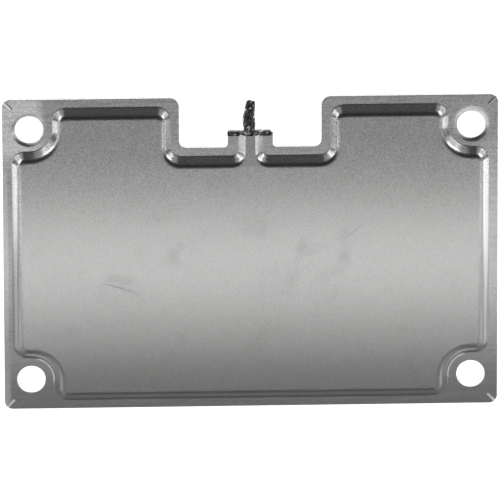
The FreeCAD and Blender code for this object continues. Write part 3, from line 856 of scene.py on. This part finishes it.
# %% Nickel: grain and relief
grain = add("TexNoise", Vector=place, Scale=2300, Detail=3, Roughness=0.65)
mottle = add("TexNoise", Vector=place, Scale=3100, Detail=2, Roughness=0.5)
clouds = add("TexNoise", Vector=place, Scale=420, Detail=4, Roughness=0.7)
stretch = add("Mapping", Vector=place, Scale=(90, 2600, 2600))
streaks = add("TexNoise", Vector=stretch.outputs["Vector"], Scale=1.0, Detail=3, Roughness=0.6)
flange_streaks = maths("MULTIPLY", streaks.outputs["Fac"], on_flange)
height = maths("MULTIPLY_ADD", scratched, -1.6, maths("MULTIPLY", flange_streaks, 0.3))
bump = add("Bump", Height=height, Strength=0.3, Distance=0.00004, Normal=leaned.outputs["Vector"])
link(bump.outputs["Normal"], nickel_shader.inputs["Normal"])
print("Grain, mottle, clouds and streaks laid")

# %% Nickel: colour
unevenness = maths("SUBTRACT", mottle.outputs["Fac"], 0.5)
how_uneven = maths("MULTIPLY_ADD", back_part, 0.48, 0.24)
shade_of_grey = maths("MULTIPLY_ADD", grain.outputs["Fac"], 0.10, 0.565)
shade_of_grey = maths("MULTIPLY_ADD", clouds.outputs["Fac"], 0.06, shade_of_grey)
shade_of_grey = maths("MULTIPLY_ADD", unevenness, how_uneven, shade_of_grey)
brushed = maths("SUBTRACT", flange_streaks, maths("MULTIPLY", on_flange, 0.5))
how_brushed = maths("MULTIPLY_ADD", back_part, 0.22, 0.20)
shade_of_grey = maths("MULTIPLY_ADD", brushed, how_brushed, shade_of_grey)
flat_tone = maths("SUBTRACT", 1.0, maths("MAXIMUM", on_flange, on_step))
shade_of_grey = maths("MULTIPLY_ADD", maths("MULTIPLY", back_part, flat_tone), -0.05, shade_of_grey)
# Painted shade darkens the front of the plate.
shade_of_grey = maths("MULTIPLY_ADD", painted_front_shade, -0.055, shade_of_grey)
# Painted sheen lightens the side faces of both sheets.
shade_of_grey = maths("MULTIPLY_ADD", sheared, 0.25, shade_of_grey)
# Painted shade darkens the flange along the foot of the left wall.
shade_of_grey = maths("MULTIPLY_ADD", painted_foot_shade, -0.16, shade_of_grey)
shade_of_grey = maths("MULTIPLY_ADD", smudged, -0.05, shade_of_grey)
shade_of_grey = maths("MULTIPLY_ADD", scratched, 0.20, shade_of_grey)
blue = maths("MULTIPLY", shade_of_grey, 0.99)
tone = add("CombineColor", Red=shade_of_grey, Green=shade_of_grey, Blue=blue)
link(tone.outputs["Color"], nickel_shader.inputs["Base Color"])
print("The grey is mixed from grain, clouds, streaks, regions and marks")

# %% Nickel: polish
polish = maths("MULTIPLY_ADD", clouds.outputs["Fac"], 0.02, 0.283)
step_polish = maths("MULTIPLY_ADD", between(at_y, -20, 5), -0.10, 0.03)
polish = maths("MULTIPLY_ADD", on_step, step_polish, polish)
polish = maths("MULTIPLY_ADD", smudged, 0.03, polish)
link(polish, nickel_shader.inputs["Roughness"])
print("Nickel nodes:", len(nickel.node_tree.nodes))

# %% [markdown]
# ## Black resin
#
# The resin is glossy black with dust set into it, and its pits are steep enough to glitter. Solder shines
# through in small bare spots. Close to the tube, on both sides of it, the lumps are mixed with grey in
# patches.

# %% Resin: dust and bare spots
resin, resin_shader, add, link = start_material("black_resin", Roughness=0.16, Specular_IOR_Level=0.9)
place = add("TexCoord").outputs["Object"]
dust = add("TexNoise", Vector=place, Scale=900, Detail=3)
dust_share = add("ValToRGB", Fac=dust.outputs["Fac"])
dust_share.color_ramp.elements[0].position = 0.50
dust_share.color_ramp.elements[0].color = (0.010, 0.010, 0.011, 1)
dust_share.color_ramp.elements[1].position = 0.72
dust_share.color_ramp.elements[1].color = (0.110, 0.108, 0.105, 1)
glints = add("TexNoise", Vector=place, Scale=1500, Detail=1)
bare = add("MapRange", Value=glints.outputs["Fac"], From_Min=0.625, From_Max=0.655)
tinned = add("Mix", {"data_type": "RGBA"})
link(bare.outputs["Result"], tinned.inputs["Factor"])
link(dust_share.outputs["Color"], tinned.inputs["A"])
tinned.inputs["B"].default_value = (0.72, 0.72, 0.72, 1)
print("Resin with dust and bare spots")

# %% Resin: grey lumps and pits
root = add("SeparateXYZ", Vector=place)
from_middle = add("Math", {"operation": "ABSOLUTE"}, n0=root.outputs["X"]).outputs["Value"]
beside = add("MapRange", Value=from_middle, From_Min=0.0011, From_Max=0.0016)
inner = add("MapRange", Value=from_middle, From_Min=0.0026, From_Max=0.0021)
grey_beside_tube = add("Math", {"operation": "MULTIPLY"}, n0=beside.outputs["Result"], n1=inner.outputs["Result"])
blots = add("TexNoise", Vector=place, Scale=1900, Detail=1)
blots = add("MapRange", Value=blots.outputs["Fac"], From_Min=0.42, From_Max=0.52, To_Max=0.8)
grey_beside_tube = add("Math", {"operation": "MULTIPLY"}, n0=grey_beside_tube.outputs["Value"], n1=blots.outputs["Result"])
greyed = add("Mix", {"data_type": "RGBA"})
link(grey_beside_tube.outputs["Value"], greyed.inputs["Factor"])
link(tinned.outputs["Result"], greyed.inputs["A"])
greyed.inputs["B"].default_value = (0.42, 0.42, 0.41, 1)
link(greyed.outputs["Result"], resin_shader.inputs["Base Color"])
link(bare.outputs["Result"], resin_shader.inputs["Metallic"])
pits = add("TexNoise", Vector=place, Scale=2200, Detail=2)
bump = add("Bump", Height=pits.outputs["Fac"], Strength=0.9, Distance=0.00022)
link(bump.outputs["Normal"], resin_shader.inputs["Normal"])
print("Resin nodes:", len(resin.node_tree.nodes))

# %% [markdown]
# ## Dress the frame
#
# The three pieces take the place of three nodes of the frame, and ride on the part's one body.

# %% Hand the pieces over
for piece, finish in ((shell, nickel), (base, nickel), (seal, resin)):
    piece.data.materials.clear()
    piece.data.materials.append(finish)
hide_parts("shell_sheet")
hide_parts("base_sheet")
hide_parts("resin_seal")
for piece, name in ((shell, "plated_sheet"), (base, "plated_sheet"), (seal, "black_resin")):
    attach(piece, "root")
print("Replaced three nodes")

# %% [markdown]
# ## The pieces inside
#
# The wicks and the columns are copper powder, sintered into a porous cake, so they are dull and grainy. Their
# colour is painted darker in the pores, a painted shade. The fill tube is drawn copper with fine lines along
# it.
# The filler in the neck is a silvery brazing alloy that set in ripples. None of them shows while the plate is
# closed.

# %% Sintered copper
sinter, sinter_shader, add, link = start_material("sintered_copper", Metallic=1.0, Roughness=0.62)
place = add("TexCoord").outputs["Object"]
powder = add("TexVoronoi", Vector=place, Scale=5200)
patches = add("TexNoise", Vector=place, Scale=240, Detail=3)
# Painted shade: the copper colour darkens towards the borders of the powder grains, in the pores.
copper_and_pore_shade = add("ValToRGB", Fac=powder.outputs["Distance"])
copper_and_pore_shade.color_ramp.elements[0].position = 0.15
copper_and_pore_shade.color_ramp.elements[0].color = (0.72, 0.36, 0.22, 1)
copper_and_pore_shade.color_ramp.elements[1].position = 0.85
copper_and_pore_shade.color_ramp.elements[1].color = (0.16, 0.06, 0.035, 1)
oxide = add("Mix", {"data_type": "RGBA"})
link(patches.outputs["Fac"], oxide.inputs["Factor"])
link(copper_and_pore_shade.outputs["Color"], oxide.inputs["A"])
oxide.inputs["B"].default_value = (0.46, 0.20, 0.12, 1)
link(oxide.outputs["Result"], sinter_shader.inputs["Base Color"])
bump = add("Bump", {"invert": True}, Height=powder.outputs["Distance"], Strength=0.8, Distance=0.00012)
link(bump.outputs["Normal"], sinter_shader.inputs["Normal"])
print("Sintered copper has", len(sinter.node_tree.nodes), "nodes")

# %% Drawn copper
copper, copper_shader, add, link = start_material("drawn_copper", Metallic=1.0)
place = add("TexCoord").outputs["Object"]
lengthwise = add("Mapping", Vector=place, Scale=(5200, 120, 5200))
lines = add("TexNoise", Vector=lengthwise.outputs["Vector"], Scale=1.0, Detail=3)
tarnish = add("ValToRGB", Fac=lines.outputs["Fac"])
tarnish.color_ramp.elements[0].color = (0.72, 0.34, 0.20, 1)
tarnish.color_ramp.elements[1].color = (0.92, 0.52, 0.36, 1)
link(tarnish.outputs["Color"], copper_shader.inputs["Base Color"])
shine = add("MapRange", Value=lines.outputs["Fac"], To_Min=0.22, To_Max=0.42)
link(shine.outputs["Result"], copper_shader.inputs["Roughness"])
bump = add("Bump", Height=lines.outputs["Fac"], Strength=0.3, Distance=0.00003)
link(bump.outputs["Normal"], copper_shader.inputs["Normal"])
print("Drawn copper has", len(copper.node_tree.nodes), "nodes")

# %% Brazing alloy
braze, braze_shader, add, link = start_material("brazing_alloy", Metallic=1.0)
place = add("TexCoord").outputs["Object"]
ripples = add("TexNoise", Vector=place, Scale=1400, Detail=4, Roughness=0.6)
flux = add("ValToRGB", Fac=ripples.outputs["Fac"])
flux.color_ramp.elements[0].position = 0.35
flux.color_ramp.elements[0].color = (0.42, 0.36, 0.26, 1)
flux.color_ramp.elements[1].position = 0.62
flux.color_ramp.elements[1].color = (0.78, 0.74, 0.64, 1)
link(flux.outputs["Color"], braze_shader.inputs["Base Color"])
matt = add("MapRange", Value=ripples.outputs["Fac"], To_Min=0.55, To_Max=0.28)
link(matt.outputs["Result"], braze_shader.inputs["Roughness"])
bump = add("Bump", Height=ripples.outputs["Fac"], Strength=0.5, Distance=0.00012)
link(bump.outputs["Normal"], braze_shader.inputs["Normal"])
print("Brazing alloy has", len(braze.node_tree.nodes), "nodes")

# %% Give every CAD node its finish
FINISHES = {
    "fill_tube": copper,
    "neck_braze": braze,
    "base_sheet": nickel,
    "shell_sheet": nickel,
    "resin_seal": resin,
}
for name, node in nodes.items():
    finish = FINISHES.get(name, sinter)
    for held in node.material_slots:
        held.material = finish
    if not node.material_slots:
        print("No slot on", name)
print("Finished", len(nodes), "nodes of the frame")

# %% [markdown]
# ## Floor and light
#
# The paper under the plate is blown out to white in the photo, so it glows for the camera. It glows for
# mirrored rays too, but only behind the plate's front edge. In front of it the floor stays dark to mirrored
# rays, a painted shadow of the plate, which the front steps mirror.

# %% Floor
bpy.ops.mesh.primitive_plane_add(size=6, location=(0, 0, -0.0002))
floor = bpy.context.object
floor.name = "floor"
paper, paper_shader, add, link = start_material("paper")
paper_shader.inputs["Base Color"].default_value = (0.8, 0.8, 0.8, 1)
paper_shader.inputs["Roughness"].default_value = 0.9
path = add("LightPath")
glow = add("Emission", Color=(1, 1, 1, 1))
spot = add("SeparateXYZ", Vector=add("TexCoord").outputs["Object"])
# Painted shadow: in front of the plate's front edge the floor does not glow for mirrored rays.
behind = add("MapRange", Value=spot.outputs["Y"], From_Min=-0.0345, From_Max=-0.0325)
mirrored_glow_outside_painted_shadow = add("Math", {"operation": "MULTIPLY"}, n0=path.outputs["Is Glossy Ray"], n1=behind.outputs["Result"])
strength = add("Math", {"operation": "MAXIMUM"}, n0=path.outputs["Is Camera Ray"], n1=mirrored_glow_outside_painted_shadow.outputs["Value"])
link(strength.outputs["Value"], glow.inputs["Strength"])
both = add("AddShader", n0=paper_shader.outputs["BSDF"], n1=glow.outputs["Emission"])
out = [n for n in paper.node_tree.nodes if n.type == "OUTPUT_MATERIAL"][0]
link(both.outputs["Shader"], out.inputs["Surface"])
floor.data.materials.append(paper)
print("The floor lies", round(-floor.location.z * 1000, 1), "mm below the plate")

# %% [markdown]
# ## The room
#
# Above the floor the room is nearly dark, so that the metal mirrors the lamps alone. Below the horizon it is
# pale, which only shows from underneath.

# %% Dim room
world = bpy.data.worlds.new("world")
bpy.context.scene.world = world
world.use_nodes = True
room = world.node_tree
room.nodes["Background"].inputs["Color"].default_value = (1, 1, 1, 1)
direction = room.nodes.new("ShaderNodeTexCoord")
parts_of_direction = room.nodes.new("ShaderNodeSeparateXYZ")
from_below = room.nodes.new("ShaderNodeMapRange")
for socket, value in (("From Min", -0.25), ("From Max", -0.05), ("To Min", 0.42), ("To Max", 0.021)):
    from_below.inputs[socket].default_value = value
room.links.new(direction.outputs["Generated"], parts_of_direction.inputs["Vector"])
room.links.new(parts_of_direction.outputs["Z"], from_below.inputs["Value"])
room.links.new(from_below.outputs["Result"], room.nodes["Background"].inputs["Strength"])
print("The room is dim above the floor and pale below it")

# %% [markdown]
# ## Lamps
#
# The bands on the flats and steps are mirrored lamps. Four strips hang over the plate, one behind the other.
# Low and high boxes stand along both sides. Four large cards in the corners, and one each in front and
# behind, fill in the rest. Each lamp is given by its middle, the point that it faces, its size and how
# bright it looks.

# %% Lamps
def soft_box(name, centre, target, width, height, radiance):
    """A rectangular lamp facing a target. Its power follows from its area and how bright it looks."""
    data = bpy.data.lights.new(name, "AREA")
    data.shape = "RECTANGLE"
    data.size, data.size_y = width, height
    data.energy = radiance * math.pi * width * height
    lamp = bpy.data.objects.new(name, data)
    bpy.context.scene.collection.objects.link(lamp)
    lamp.location = centre
    lamp.rotation_euler = (Vector(target) - Vector(centre)).to_track_quat("-Z", "Y").to_euler()
    lamp.visible_camera = False
    return lamp


STRIP, LOW, HIGH = (0.36, 0.012), (0.04, 0.036), (0.08, 0.06)
LAMPS = (
    ("strip_front", (0, -0.118, 0.13), (0, -0.118, 0), STRIP, 1.27),
    ("strip_main", (0, -0.046, 0.13), (0, -0.046, 0), STRIP, 2.45),
    ("strip_beside", (0, -0.034, 0.13), (0, -0.034, 0), STRIP, 0.82),
    ("strip_back", (0, 0.002, 0.13), (0, 0.002, 0), STRIP, 0.93),
    ("left_low_front", (-0.15, -0.10, 0.018), (-0.03, -0.05, 0), LOW, 0.10),
    ("left_low_middle", (-0.15, -0.011, 0.018), (-0.03, -0.005, 0), LOW, 1.28),
    ("left_low_back", (-0.15, 0.06, 0.018), (-0.03, 0.03, 0), LOW, 0.38),
    ("left_high_front", (-0.15, -0.05, 0.07), (0, -0.025, 0), HIGH, 0.40),
    ("left_high_middle", (-0.15, 0.03, 0.07), (0, 0.015, 0), HIGH, 0.81),
    ("left_high_back", (-0.15, 0.10, 0.07), (0, 0.05, 0), HIGH, 1.78),
    ("right_low_front", (0.15, -0.10, 0.018), (0.03, -0.05, 0), LOW, 0.12),
    ("right_low_middle", (0.15, -0.016, 0.018), (0.03, -0.01, 0), LOW, 1.72),
    ("right_low_back", (0.15, 0.06, 0.018), (0.03, 0.03, 0), LOW, 0.55),
    ("right_high_front", (0.15, -0.05, 0.07), (0, -0.025, 0), HIGH, 0.48),
    ("right_high_middle", (0.15, 0.03, 0.07), (0, 0.015, 0), HIGH, 0.36),
    ("right_high_back", (0.15, 0.10, 0.07), (0, 0.05, 0), HIGH, 2.44),
    ("corner_card_front_left", (-0.34, -0.34, 0.20), (0, 0, 0), (0.45, 0.26), 0.30),
    ("corner_card_front_right", (0.34, -0.34, 0.20), (0, 0, 0), (0.45, 0.26), 0.30),
    ("corner_card_back_left", (-0.34, 0.34, 0.20), (0, 0, 0), (0.45, 0.26), 0.30),
    ("corner_card_back_right", (0.34, 0.34, 0.20), (0, 0, 0), (0.45, 0.26), 0.30),
    ("card_front", (0, -0.20, 0.06), (0, 0, 0), (0.30, 0.08), 0.14),
    ("card_back", (0, 0.16, 0.08), (0, 0, 0), (0.25, 0.12), 0.05),
)
for name, centre, target, (width, height), radiance in LAMPS:
    soft_box(name, centre, target, width, height, radiance)
print("Lamps:", len(LAMPS))
bpy.context.scene.view_settings.view_transform = "Standard"
